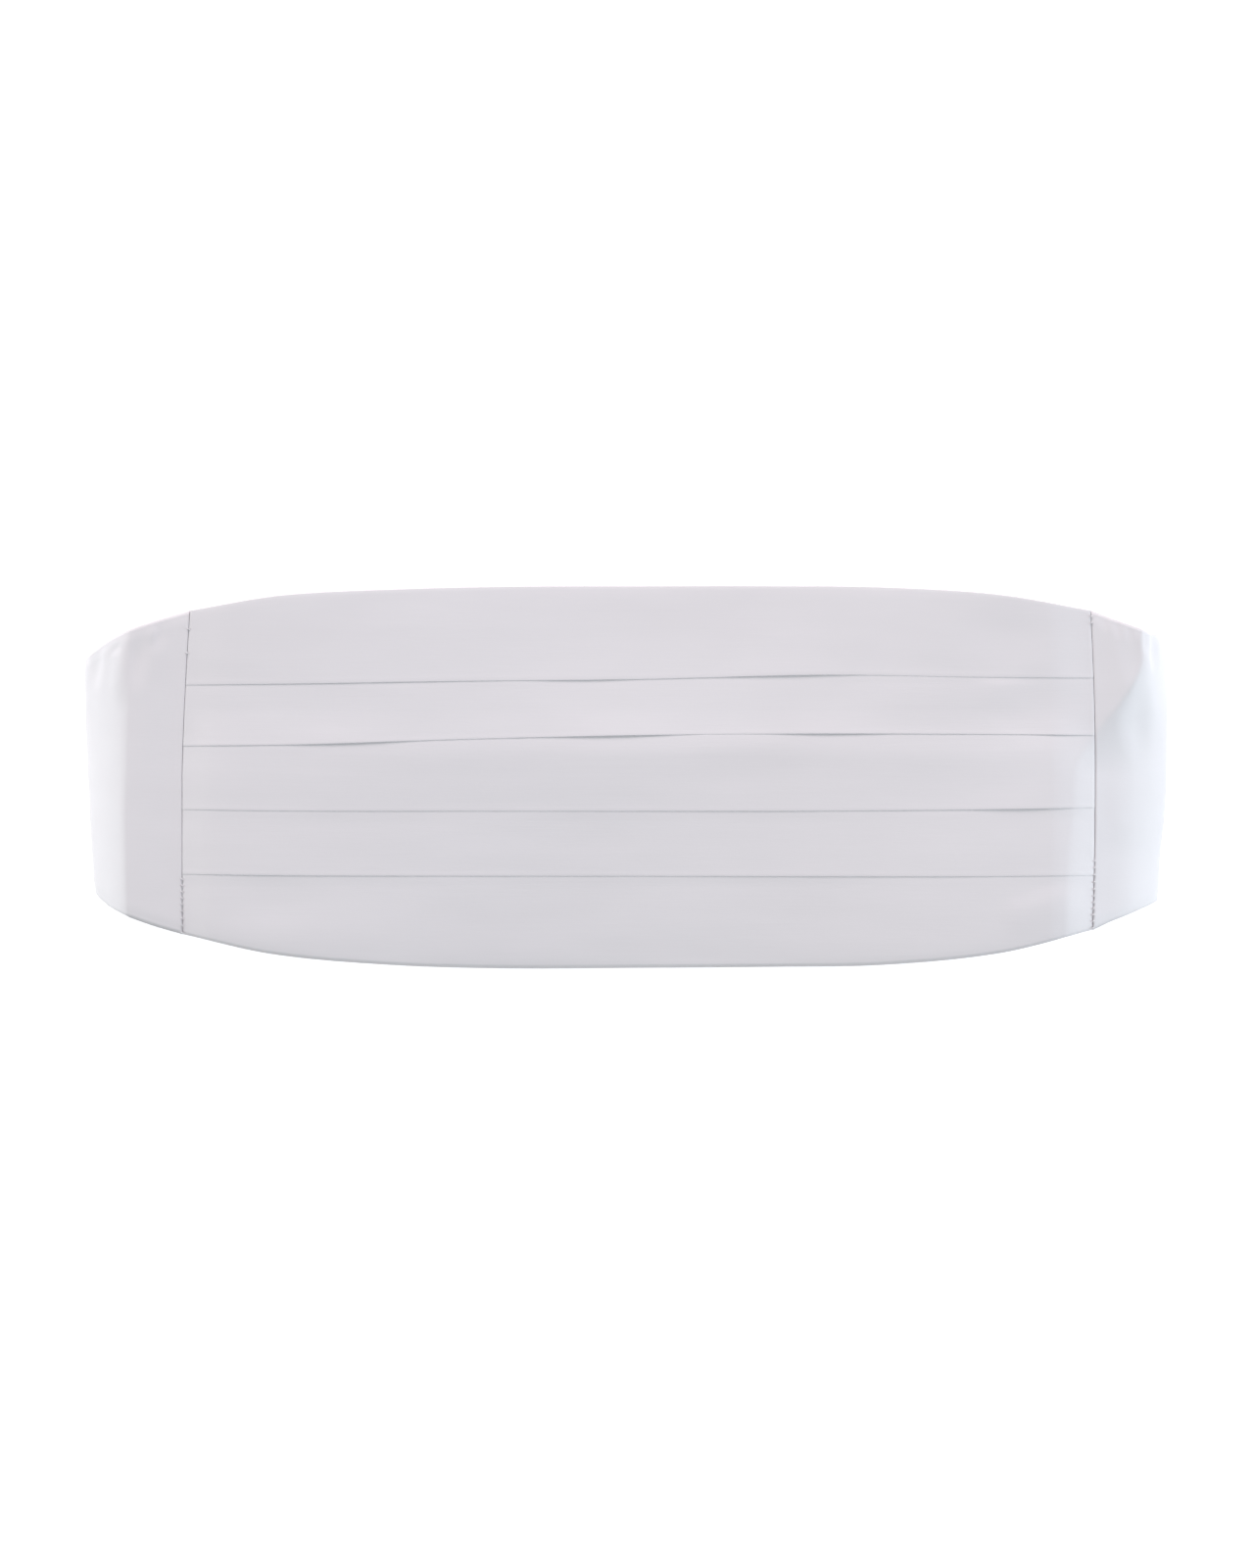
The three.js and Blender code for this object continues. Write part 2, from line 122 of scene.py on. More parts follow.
HALF_HEIGHT = SASH_HEIGHT / 2
HALF_FRONT = FRONT_WIDTH / 2
HALF_BEND = BEND_HEIGHT / 2
FOLDED_WIDTH = FRONT_WIDTH + 2 * TAB_SHOWN

FRONT_ALONG = [-1.0, -0.8, -0.55, -0.3, 0.0, 0.3, 0.55, 0.8, 1.0]
FRONT_UPPER = [0.871, 0.95, 0.982, 0.997, 1.0, 1.0, 0.992, 0.953, 0.871]
FRONT_LOWER = [0.82, 0.925, 0.98, 1.0, 0.998, 0.992, 0.98, 0.918, 0.798]
END_ALONG = [-0.65, -0.4, -0.2, 0.0, 0.3, 0.65]
END_LEFT = [1.0, 0.74, 0.52, 0.36, 0.12, 0.0]
END_RIGHT = [0.88, 0.66, 0.28, 0.1, 0.02, 0.0]
FOLD_ALONG = [-1.0, -0.75, -0.4, 0.0, 0.4, 0.75, 1.0]
FOLD_LINES = [
    [0.481, 0.488, 0.502, 0.512, 0.534, 0.522, 0.518],
    [0.163, 0.17, 0.197, 0.219, 0.227, 0.224, 0.219],
    [-0.169, -0.176, -0.177, -0.177, -0.176, -0.169, -0.159],
    [-0.506, -0.513, -0.516, -0.517, -0.518, -0.518, -0.512],
]
# fold, middle, half length, lift
OPENINGS = [
    (0, -0.13, 0.16, 0.4),
    (0, 0.32, 0.2, 0.5),
    (1, -0.64, 0.18, 0.5),
    (1, -0.05, 0.2, 0.6),
    (1, 0.42, 0.16, 0.4),
    (2, 0.84, 0.14, 0.4),
]
# middle along and up, half length and half height, depth
DENTS = [
    (0.87, 0.37, 0.12, 0.24, 0.9),
    (0.8, 0.72, 0.14, 0.22, 0.6),
    (0.62, 0.4, 0.2, 0.22, -0.3),
    (0.7, -0.03, 0.26, 0.2, 0.3),
    (0.3, 0.03, 0.36, 0.2, 0.3),
    (-0.1, -0.33, 0.35, 0.16, 0.4),
    (-0.8, -0.66, 0.16, 0.2, 0.5),
    (0.1, -0.92, 0.6, 0.18, 0.3),
]
# side, middle along and across, half length and half width, depth
PUCKERS = [
    (-1, 0.14, 0.9, 0.05, 0.14, 0.8),
    (-1, 0.2, 0.86, 0.05, 0.16, -0.6),
    (-1, 0.3, 0.93, 0.05, 0.12, 1.0),
    (1, 0.12, 0.9, 0.06, 0.14, 0.6),
    (1, 0.14, 0.68, 0.08, 0.16, 0.9),
    (1, 0.2, 0.93, 0.04, 0.1, 1.0),
]
# The finest ones, in the same form
FINE_PUCKERS = [
    (-1, 0.085, 0.95, 0.045, 0.07, 0.4),
    (-1, 0.105, 0.955, 0.02, 0.04, -0.3),
    (-1, 0.215, 0.95, 0.03, 0.03, 0.4),
    (1, 0.037, 0.975, 0.018, 0.04, 0.25),
    (1, 0.075, 0.97, 0.018, 0.04, 0.3),
    (1, 0.11, 0.97, 0.018, 0.05, 0.3),
    (1, 0.16, 0.955, 0.022, 0.06, 0.5),
]
TAPER_ALONG = [0.0, 0.08, 0.17, 0.25, 0.34, 0.6, 0.85, 1.0]
UPPER_TAPER = {
    -1: [0.0, 0.075, 0.17, 0.27, 0.39, 0.74, 0.96, 1.0],
    1: [0.0, 0.095, 0.19, 0.235, 0.34, 0.7, 0.95, 1.0],
}
LOWER_TAPER = {
    -1: [0.0, 0.08, 0.19, 0.28, 0.39, 0.74, 0.96, 1.0],
    1: [0.0, 0.105, 0.215, 0.3, 0.38, 0.7, 0.95, 1.0],
}
# How high a pleat stands beside a hem, in its middle and at a fold's root, as shares of the fold's step
HEM_RISE = 0.33
MIDDLE_RISE = 0.45
ROOT_RISE = 0.72
LAST_RISE = 0.3
LIFT_CARRIED = 0.2  # share of an opening's lift that reaches the fold's root


# Plain functions
def smooth(value, low, high):
    t = np.clip((np.asarray(value, float) - low) / (high - low), 0, 1)
    return t * t * (3 - 2 * t)


def mix(a, b, t):
    return a + (b - a) * t


def table(xs, ys, at):
    """A smooth curve through a table, for one value or many."""
    xs, ys = np.asarray(xs, float), np.asarray(ys, float)
    at = np.clip(np.asarray(at, float), xs[0], xs[-1])
    k = np.clip(np.searchsorted(xs, at, side="right") - 1, 0, len(xs) - 2)
    before, after = np.maximum(k - 1, 0), np.minimum(k + 2, len(xs) - 1)
    width = xs[k + 1] - xs[k]
    t = (at - xs[k]) / width
    start = (ys[k + 1] - ys[before]) / (xs[k + 1] - xs[before]) * width
    end = (ys[after] - ys[k]) / (xs[after] - xs[k]) * width
    t2, t3 = t * t, t * t * t
    return (
        (2 * t3 - 3 * t2 + 1) * ys[k]
        + (t3 - 2 * t2 + t) * start
        + (3 * t2 - 2 * t3) * ys[k + 1]
        + (t3 - t2) * end
    )


def dent_share(aside, above):
    off = np.minimum(1, np.hypot(aside, above))
    return np.cos(math.pi / 2 * off) ** 2


def seam_x(side, y):
    t = np.clip(np.asarray(y, float) / HALF_HEIGHT, -1, 1)
    if side < 0:
        inset = LEFT_SEAM_LEAN * np.maximum(t, 0) ** LEFT_SEAM_POWER
    else:
        inset = np.where(t > 0, RIGHT_SEAM_LEAN, RIGHT_SEAM_BOW) * t**2
    return FRONT_SHIFT + side * (HALF_FRONT - inset)


def end_x(side, y):
    lean = table(END_ALONG, END_LEFT if side < 0 else END_RIGHT, np.asarray(y) / HALF_HEIGHT)
    return FOLDED_WIDTH / 2 - END_LEAN * lean


def bend_reach(side, y):
    if side < 0:
        return mix(LEFT_REACH_LOWER, LEFT_REACH_UPPER, smooth(y, LEFT_REACH_END, LEFT_REACH_START))
    return mix(RIGHT_REACH_LOWER, RIGHT_REACH_UPPER, smooth(y, RIGHT_REACH_END, RIGHT_REACH_START))


def bend_share(out):
    """How much of its height an end bend still has, by the share of its reach."""
    return (1 - np.clip(out, 0, 1) ** BEND_POWER) ** (1 / BEND_POWER)


def ridge_fall(along, y):
    off = np.hypot(y - RIDGE_HEIGHT, RIDGE_ROUND) - RIDGE_ROUND
    return RIDGE_SLOPE * off * np.cos(math.pi / 2 * along) ** 2


def dip_at(distance):
    return SEAM_DIP * (1 - smooth(distance, 0, SEAM_DIP_REACH))


def face_height(x, y):
    """Height of the front's outer face above the floor, for arrays of one shape."""
    left = x < 0
    reach = np.where(left, bend_reach(-1, y), bend_reach(1, y))
    end = np.where(left, end_x(-1, y), end_x(1, y))
    into = np.maximum(0, np.abs(x) - (end - reach))
    along = np.clip((x - FRONT_SHIFT) / HALF_FRONT, -1, 1)
    sag = FRONT_SAG * np.cos(math.pi / 2 * along) ** 2
    seam = np.where(left, seam_x(-1, y), seam_x(1, y))
    dent = sum(
        DENT_DEPTH * deep * dent_share((along - at) / long, (y / HALF_HEIGHT - up) / tall)
        for at, up, long, tall, deep in DENTS
    )
    bend = HALF_BEND + HALF_BEND * bend_share(into / reach)
    return bend - sag - ridge_fall(along, y) - dip_at(np.abs(x - seam)) - dent


def cloudy(x, y, z, size_x, size_y, seed):
    """Smooth noise from -1 to 1 whose lumps have the given sizes, at arrays of points."""
    flat = np.column_stack([np.ravel(x) / size_x, np.ravel(y) / size_y, np.ravel(z)])
    values = [noise.noise(Vector((a, b, c + seed))) for a, b, c in flat.tolist()]
    return np.array(values).reshape(np.shape(x))


def make_mesh(name, points, faces, material):
    """points in millimetres."""
    mesh = bpy.data.meshes.new(name)
    mesh.from_pydata((np.asarray(points) * MM).tolist(), [], faces)
    mesh.validate()
    mesh.shade_smooth()
    mesh.materials.append(material)
    piece = bpy.data.objects.new(name, mesh)
    bpy.context.scene.collection.objects.link(piece)
    return piece


def ring_faces(rows, count):
    """Quads between closed rings of count points."""
    faces = []
    for i in range(rows - 1):
        a, b = i * count, (i + 1) * count
        for j in range(count):
            k = (j + 1) % count
            faces.append((a + j, a + k, b + k, b + j))
    return faces


# Materials
def new_material(name):
    material = bpy.data.materials.new(name)
    material.use_nodes = True
    nodes = material.node_tree.nodes
    return material, nodes, material.node_tree.links, nodes["Principled BSDF"]


def add_node(nodes, kind, **values):
    node = nodes.new(kind)
    for key, value in values.items():
        if key.startswith("in_"):
            node.inputs[key[3:].replace("_", " ")].default_value = value
        else:
            setattr(node, key, value)
    return node


def mapped(nodes, links, scale):
    where = nodes.new("ShaderNodeTexCoord")
    mapping = nodes.new("ShaderNodeMapping")
    mapping.inputs["Scale"].default_value = scale
    links.new(where.outputs["Object"], mapping.inputs["Vector"])
    return mapping.outputs["Vector"]


def ramp_color(nodes, links, source, low, high, start=0.3, end=0.7):
    ramp = nodes.new("ShaderNodeValToRGB")
    ramp.color_ramp.elements[0].position = start
    ramp.color_ramp.elements[1].position = end
    ramp.color_ramp.elements[0].color = (*low, 1)
    ramp.color_ramp.elements[1].color = (*high, 1)
    links.new(source, ramp.inputs["Fac"])
    return ramp.outputs["Color"]


def satin_material(name, low, high):
    """Satin: cloudy colour, fine threads along the sash and a soft sheen."""
    material, nodes, links, shader = new_material(name)
    cloud = add_node(nodes, "ShaderNodeTexNoise", in_Scale=1.0, in_Detail=4.0)
    links.new(mapped(nodes, links, (14, 40, 14)), cloud.inputs["Vector"])
    links.new(ramp_color(nodes, links, cloud.outputs["Fac"], low, high), shader.inputs["Base Color"])
    threads = add_node(nodes, "ShaderNodeTexNoise", in_Scale=1.0, in_Detail=3.0)
    links.new(mapped(nodes, links, (180, 4200, 4200)), threads.inputs["Vector"])
    slubs = add_node(nodes, "ShaderNodeTexNoise", in_Scale=1.0, in_Detail=2.0)
    links.new(mapped(nodes, links, (35, 900, 900)), slubs.inputs["Vector"])
    rough = add_node(nodes, "ShaderNodeMapRange", in_To_Min=0.5, in_To_Max=0.64)
    links.new(slubs.outputs["Fac"], rough.inputs["Value"])
    links.new(rough.outputs["Result"], shader.inputs["Roughness"])
    fine = add_node(nodes, "ShaderNodeBump", in_Strength=0.25, in_Distance=0.00006)
    links.new(threads.outputs["Fac"], fine.inputs["Height"])
    coarse = add_node(nodes, "ShaderNodeBump", in_Strength=0.2, in_Distance=0.0001)
    links.new(slubs.outputs["Fac"], coarse.inputs["Height"])
    links.new(fine.outputs["Normal"], coarse.inputs["Normal"])
    links.new(coarse.outputs["Normal"], shader.inputs["Normal"])
    shader.inputs["Sheen Weight"].default_value = 0.2
    shader.inputs["Sheen Roughness"].default_value = 0.4
    shader.inputs["Specular IOR Level"].default_value = 0.35
    return material


def webbing_material():
    """Woven elastic: lengthwise ribs crossed by fine wefts."""
    material, nodes, links, shader = new_material("elastic_webbing")
    ribs = add_node(nodes, "ShaderNodeTexWave", bands_direction="Y", in_Scale=1.0, in_Distortion=0.6)
    links.new(mapped(nodes, links, (1, 230, 1)), ribs.inputs["Vector"])
    wefts = add_node(nodes, "ShaderNodeTexWave", bands_direction="X", in_Scale=1.0, in_Distortion=0.4)
    links.new(mapped(nodes, links, (420, 1, 1)), wefts.inputs["Vector"])
    weave = nodes.new("ShaderNodeMath")
    weave.operation = "MULTIPLY"
    links.new(ribs.outputs["Fac"], weave.inputs[0])
    links.new(wefts.outputs["Fac"], weave.inputs[1])
    color = ramp_color(nodes, links, weave.outputs[0], (0.62, 0.61, 0.61), (0.78, 0.77, 0.77), 0.0, 0.8)
    links.new(color, shader.inputs["Base Color"])
    bump = add_node(nodes, "ShaderNodeBump", in_Strength=0.6, in_Distance=0.0003)
    links.new(weave.outputs[0], bump.inputs["Height"])
    links.new(bump.outputs["Normal"], shader.inputs["Normal"])
    shader.inputs["Roughness"].default_value = 0.85
    shader.inputs["Sheen Weight"].default_value = 0.2
    return material


def plastic_material():
    """Moulded plastic with a fine grain."""
    material, nodes, links, shader = new_material("clasp_plastic")
    grain = add_node(nodes, "ShaderNodeTexNoise", in_Scale=1.0, in_Detail=5.0)
    links.new(mapped(nodes, links, (900, 900, 900)), grain.inputs["Vector"])
    color = ramp_color(nodes, links, grain.outputs["Fac"], (0.74, 0.73, 0.73), (0.8, 0.79, 0.79))
    links.new(color, shader.inputs["Base Color"])
    bump = add_node(nodes, "ShaderNodeBump", in_Strength=0.15, in_Distance=0.0001)
    links.new(grain.outputs["Fac"], bump.inputs["Height"])
    links.new(bump.outputs["Normal"], shader.inputs["Normal"])
    shader.inputs["Roughness"].default_value = 0.4
    return material


SATIN = satin_material("satin", (0.668, 0.632, 0.655), (0.7, 0.662, 0.686))
THREAD = satin_material("sewing_thread", (0.62, 0.6, 0.62), (0.72, 0.7, 0.72))
WEBBING = webbing_material()
PLASTIC = plastic_material()

# Pleated front
COLUMNS = 360
BAND_POINTS = 24
LAST_BAND_POINTS = 28
LIP_POINTS = 7
UNDER_POINTS = 3
FLOOR_POINTS = 4
HEM_POINTS = 6
BACK_POINTS = 16
BACK_EASE = 0.08  # share of the back's height over which it joins a hem
SEAM_EDGE = 0.1  # radius of the front's and the tabs' edges at a seam
SEAM_EDGE_STEPS = 5
SEAM_EDGE_LEFT = 0.12  # share of its height that an edge keeps as it closes
SHOWN_SEAM = 0.04  # the sewn seam is tighter than the gap between its solids
SEAM_LEDGE = 0.75  # share of the front's thickness at which its edge reaches under the seam's groove
SEAM_LEDGE_REACH = 0.6
SHOWN_FLOOR = 2.2  # the front's thickness under a fold; its thin folds leave it as thick as the tabs
SHOWN_LIFT = 0.6  # share of an opening's lift that shows
SHOWN_WALLS = [0.16, 0.18, 0.25, 0.25]  # the folded edges of satin, thinner than in the solid
SHOWN_GAP = 0.02  # air under a folded edge that lies flat
LIP_MIDDLE = 0.4  # the round of a folded edge, as shares of its wall: its middle and its reach
LIP_REACH = 0.55
ROOT_ROOM = 0.4  # the air under a fold ends this far before its root, and is this high there
ROOT_GAP = 0.04
CREST = 1.4  # the cloth rises a little more over this width above a folded edge
CREST_RISE = 0.06
UNDER_RISE = [0, 0, 0.02, 0.09, 0.09]  # how much each pleat rises toward the fold above it
UNDER_WIDTH = 3.5
SEAM_ROLL = {-1: (8.0, 1.15), 1: (14.0, 1.4)}  # width and depth of the front's own roll beside a seam
ROLL_POWER = 1.4
ROLL_LOW = 6.0  # the roll is whole below this height and has its upper share above the next
ROLL_HIGH = 22.0
ROLL_UPPER_SHARE = 0.22
ROLL_SINK = 0.2  # how much of the roll is left at the seam; the front rises by the rest before it falls
HEM_FALL = 0.4  # the last pleat falls this much toward the lower hem
HEM_FALL_WIDTH = 10.0

# The small waves: where they fade in below a fold, above the lower hem and beside a seam
WAVE_START = 0.3
WAVE_FULL = 2.5
HEM_WAVE_START = 0.5
HEM_WAVE_FULL = 3.0
SEAM_WAVE_SHARE = 0.35
SEAM_WAVE_WIDTH = 10
# height, lengths along and across, seed
PLEAT_WAVES = [
    (0.11, 46, 14, 1.5),
    (0.03, 16, 7, 9.2),
    (0.015, 60, 2.6, 4.4),
]
PLEAT_SEED = 7.3  # how far apart two pleats' waves are in the noise

# Fine creases in the front: pleat, the two ends of a line, and the height of a fold along it that
# is steep on the line's right hand and gentle on its left, with both widths
CREASES = [
    (1, (110.0, 32.0), (142.0, 13.0), 0.22, 9.0, 12.0),
    (0, (-138.0, 46.5), (40.0, 47.0), 0.04, 1.5, 9.0),
    (2, (-20.0, 6.0), (45.0, 8.5), 0.05, 2.0, 6.0),
    (4, (118.0, -44.0), (142.0, -36.0), 0.3, 9.0, 6.0),
]
# Shares of its line over which a crease begins and ends
CREASE_START = (-0.1, 0.25)
CREASE_END = (0.75, 1.1)


def lift_of(fold, along):
    total = 0.0
    for which, at, spread, lift in OPENINGS:
        if which == fold and abs(along - at) < spread:
            total += SHOWN_LIFT * lift * FOLD_WALL * math.cos((along - at) / spread * math.pi / 2) ** 2
    return total


def front_section(along):
    """(y, height above the inner face, how much of the small waves it takes, band) points."""
    upper = float(HALF_HEIGHT * table(FRONT_ALONG, FRONT_UPPER, along))
    lower = float(-HALF_HEIGHT * table(FRONT_ALONG, FRONT_LOWER, along))
    to_seam = HALF_FRONT * (1 - abs(along))
    pressed = float(mix(PRESSED_SHARE, 1, smooth(to_seam, 0, PRESSED_LENGTH)))
    walls = [wall * pressed for wall in SHOWN_WALLS]
    steps = [wall + SHOWN_GAP * pressed for wall in walls]
    ys = [float(HALF_HEIGHT * table(FOLD_ALONG, line, along)) for line in FOLD_LINES]
    lifts = [lift_of(i, along) for i in range(4)]
    ring = []
    hem_round = HEM_WALL / 2
    hem_mid = SHOWN_FLOOR - hem_round

    def hem(edge, sign, start, end):
        """A hem's rounded edge; sign is 1 at the upper edge and -1 at the lower."""
        middle = hem_mid - (0 if sign > 0 else HEM_FALL)
        pleat = 0 if sign > 0 else 4
        for k in range(HEM_POINTS + 1):
            angle = mix(start, end, k / HEM_POINTS)
            y = edge - sign * hem_round + sign * hem_round * math.cos(angle)
            ring.append((y, middle + hem_round * math.sin(angle), 0.0, pleat))

    def band(i, top_y, points, knots):
        """A pleat's visible face, from top_y down, through (y, height) knots."""
        down = [-y for y, _ in knots]
        heights = [h for _, h in knots]
        for k in range(points + 1):
            y = mix(knots[0][0], knots[-1][0], k / points)
            wave = float(smooth(top_y - y, WAVE_START, WAVE_FULL))
            height = float(table(down, heights, -y))
            height += UNDER_RISE[i] * float(1 - smooth(top_y - y, 0, UNDER_WIDTH))
            if i == 4:
                wave *= float(smooth(y - lower, HEM_WAVE_START, HEM_WAVE_FULL))
                height -= HEM_FALL * max(0, 1 - (y - lower) / HEM_FALL_WIDTH) ** 2
            ring.append((y, height, wave, i))

    hem(upper, 1, -math.pi / 2, math.pi / 2)
    top = (upper - hem_round, SHOWN_FLOOR)
    for i in range(4):
        wall, step = walls[i], steps[i]
        lip = SHOWN_FLOOR + step + lifts[i]
        root = SHOWN_FLOOR + ROOT_RISE * step + LIFT_CARRIED * lifts[i]
        middle_y = (top[0] + ys[i] + FOLD_DEPTH) / 2
        knots = [top]
        if i == 0:
            knots.append((upper - HEM_ROLL, SHOWN_FLOOR + HEM_RISE * step))
        knots += [
            (middle_y, SHOWN_FLOOR + MIDDLE_RISE * step),
            (ys[i] + FOLD_DEPTH, root),
            (ys[i] + CREST, lip - CREST_RISE),
            (ys[i] + wall * LIP_MIDDLE, lip),
        ]
        band(i, top[0], BAND_POINTS, knots)
        for k in range(1, LIP_POINTS + 1):
            angle = math.pi / 2 - math.pi * k / LIP_POINTS
            y = ys[i] + wall * LIP_MIDDLE - wall * LIP_REACH * math.cos(angle)
            ring.append((y, lip - wall / 2 + wall / 2 * math.sin(angle), 1.0, i))
        root_y = ys[i] + FOLD_DEPTH - ROOT_ROOM
        for k in range(1, UNDER_POINTS + 1):
            t = k / UNDER_POINTS
            y = mix(ys[i], root_y, t)
            ring.append((y, mix(lip - wall, SHOWN_FLOOR + ROOT_GAP, t), 1.0 - t, i))
        for k in range(FLOOR_POINTS):
            t = k / FLOOR_POINTS
            y = mix(root_y, ys[i], t)
            floor = mix(SHOWN_FLOOR - SHOWN_GAP * pressed, SHOWN_FLOOR, t)
            ring.append((y, floor, 0.0, i + 1))
        top = (ys[i], SHOWN_FLOOR)
    middle_y = (top[0] + lower) / 2
    knots = [
        top,
        (middle_y, SHOWN_FLOOR + LAST_RISE * steps[3]),
        (lower + HEM_ROLL, SHOWN_FLOOR + HEM_RISE * steps[3]),
        (lower + hem_round, SHOWN_FLOOR),
    ]
    band(4, top[0], LAST_BAND_POINTS, knots)
    hem(lower, -1, math.pi / 2, -math.pi / 2)
    for k in range(1, BACK_POINTS):
        t = k / BACK_POINTS
        ease = float(smooth(min(t, 1 - t), 0, BACK_EASE))
        start = SHOWN_FLOOR - HEM_WALL - (HEM_FALL if t < 0.5 else 0)
        ring.append((mix(lower, upper, t), mix(start, 0.0, ease), -1.0, -1))
    return ring


def small_waves(x, y, band):
    """The soft unevenness of each pleat's own cloth."""
    own = band * PLEAT_SEED
    return sum(
        height * cloudy(x, y, own, along, across, seed)
        for height, along, across, seed in PLEAT_WAVES
    )


def creases(x, y, band):
    """How high the fine creases stand, at arrays of points."""
    total = np.zeros(x.shape)
    for pleat, start, end, height, steep, gentle in CREASES:
        along = np.array(end) - np.array(start)
        length = np.hypot(*along)
        along = along / length
        off_x, off_y = x - start[0], y - start[1]
        at = (off_x * along[0] + off_y * along[1]) / length
        aside = off_y * along[0] - off_x * along[1]
        across = smooth(aside, -steep, 0) * (1 - smooth(aside, 0, gentle))
        ends = smooth(at, *CREASE_START) * (1 - smooth(at, *CREASE_END))
        total += height * across * ends * (band == pleat)
    return total


def seam_roll(x, y):
    """The front's own fall toward each seam, which is strongest on the lower pleats."""
    share = mix(1, ROLL_UPPER_SHARE, smooth(y, ROLL_LOW, ROLL_HIGH))
    across = smooth(x, -HALF_FRONT, HALF_FRONT)
    rise = mix(SEAM_ROLL[-1][1], SEAM_ROLL[1][1], across) - ROLL_SINK
    total = -rise * (share - ROLL_UPPER_SHARE)
    for side, (width, depth) in SEAM_ROLL.items():
        near = np.clip(1 - side * (seam_x(side, y) - x) / width, 0, 1)
        total = total + depth * near**ROLL_POWER * share
    return total


def pleated_front():
    inner = np.linspace(-1, 1, COLUMNS + 1)
    sections = [front_section(a) for a in inner]
    data = np.array(sections, float)
    y, h, wave, band = (data[:, :, k] for k in range(4))
    share = ((inner + 1) / 2)[:, None]
    left = seam_x(-1, y) + SHOWN_SEAM / 2 + SEAM_EDGE
    right = seam_x(1, y) - SHOWN_SEAM / 2 - SEAM_EDGE
    x = mix(left, right, share)
    shown = np.clip(wave, 0, 1)
    waves = small_waves(x, y, band) * shown
    from_seam = smooth(HALF_FRONT * (1 - np.abs(inner))[:, None], 0, SEAM_WAVE_WIDTH)
    waves = waves * mix(SEAM_WAVE_SHARE, 1, from_seam)
    h = h + waves + creases(x, y, band) * shown - seam_roll(x, y)
    z = face_height(x, y) - TAB_WALL + h
    rows = [np.stack([x[i], y[i], z[i]], 1) for i in range(COLUMNS + 1)]

    def closing(row, side):
        """The rows with which the edge at a seam turns down and closes."""
        base = face_height(row[:, 0], row[:, 1]) - TAB_WALL
        middle = base + SHOWN_FLOOR * (1 - SEAM_LEDGE)
        out = []
        for k in range(1, SEAM_EDGE_STEPS + 1):
            angle = math.pi / 2 * k / SEAM_EDGE_STEPS
            new = row.copy()
            new[:, 0] += side * SEAM_EDGE * math.sin(angle)
            new[:, 2] = middle + (row[:, 2] - middle) * mix(SEAM_EDGE_LEFT, 1, math.cos(angle))
            out.append(new)
        ledge = SHOWN_SEAM + SEAM_LEDGE_REACH
        for reach, thick in ((SHOWN_SEAM, SEAM_EDGE_LEFT), (ledge, SEAM_EDGE_LEFT), (ledge, 0)):
            new = out[SEAM_EDGE_STEPS - 1].copy()
            new[:, 0] += side * reach
            new[:, 2] = middle + (row[:, 2] - middle) * thick
            out.append(new)
        return out

    rows = closing(rows[0], -1)[::-1] + rows + closing(rows[-1], 1)
    count = len(sections[0])
    points = np.concatenate(rows)
    faces = ring_faces(len(rows), count)
    piece = make_mesh("pleated_satin_front", points, faces, SATIN)
    close_ends(piece)
    return piece


WELD_DISTANCE = 2e-7  # metres


def close_ends(piece):
    """Welds the flattened end rings and makes the faces point outwards."""
    work = bmesh.new()
    work.from_mesh(piece.data)
    bmesh.ops.remove_doubles(work, verts=work.verts, dist=WELD_DISTANCE)
    loose = [e for e in work.edges if e.is_boundary]
    if loose:
        bmesh.ops.holes_fill(work, edges=loose, sides=0)
    bmesh.ops.recalc_face_normals(work, faces=work.faces)
    work.to_mesh(piece.data)
    work.free()
    piece.data.shade_smooth()


# End tabs
PATH_ROW_STEP = 0.5
PATH_ROW_REACH = 56
PATH_ROWS = np.arange(-PATH_ROW_REACH, PATH_ROW_REACH + PATH_ROW_STEP / 2, PATH_ROW_STEP)
PATH_STEP = 0.25
PATH_SPARE = 2
PATH_DISTANCES = np.arange(0, TAB_LENGTH + PATH_SPARE, PATH_STEP)
FLAT_POINTS = 20
BEND_POINTS = 240
UNDER_BEND_POINTS = 120


def tab_path(side, y):
    """Evenly spaced points on the tab's outer face at one height."""
    end = float(end_x(side, y))
    reach = float(bend_reach(side, y))
    start = float(side * seam_x(side, y) + SHOWN_SEAM / 2)
    bend_start = end - reach
    points = []
    if start < bend_start:
        points += [(mix(start, bend_start, k / FLAT_POINTS), BEND_HEIGHT) for k in range(FLAT_POINTS)]
    turned = math.asin(min(max((start - bend_start) / reach, 0), 1) ** (BEND_POWER / 2))
    for k in range(BEND_POINTS + 1):
        out = math.sin(mix(turned, math.pi / 2, k / BEND_POINTS)) ** (2 / BEND_POWER)
        points.append((bend_start + reach * out, HALF_BEND + HALF_BEND * float(bend_share(out))))
    middle = end - BACK_REACH
    for k in range(1, UNDER_BEND_POINTS + 1):
        angle = -math.pi / 2 * k / UNDER_BEND_POINTS
        points.append((middle + BACK_REACH * math.cos(angle), HALF_BEND + HALF_BEND * math.sin(angle)))
    points.append((0.0, 0.0))
    points = np.array(points)
    length = np.concatenate([[0], np.cumsum(np.hypot(*np.diff(points, axis=0).T))])
    x = np.interp(PATH_DISTANCES, length, points[:, 0])
    z = np.interp(PATH_DISTANCES, length, points[:, 1])
    return x, z


def tab_grid(side):
    paths = [tab_path(side, y) for y in PATH_ROWS]
    return np.array([p[0] for p in paths]), np.array([p[1] for p in paths])


LAST_CELL = 1.001  # keeps a place on the grid's edge inside its last cell


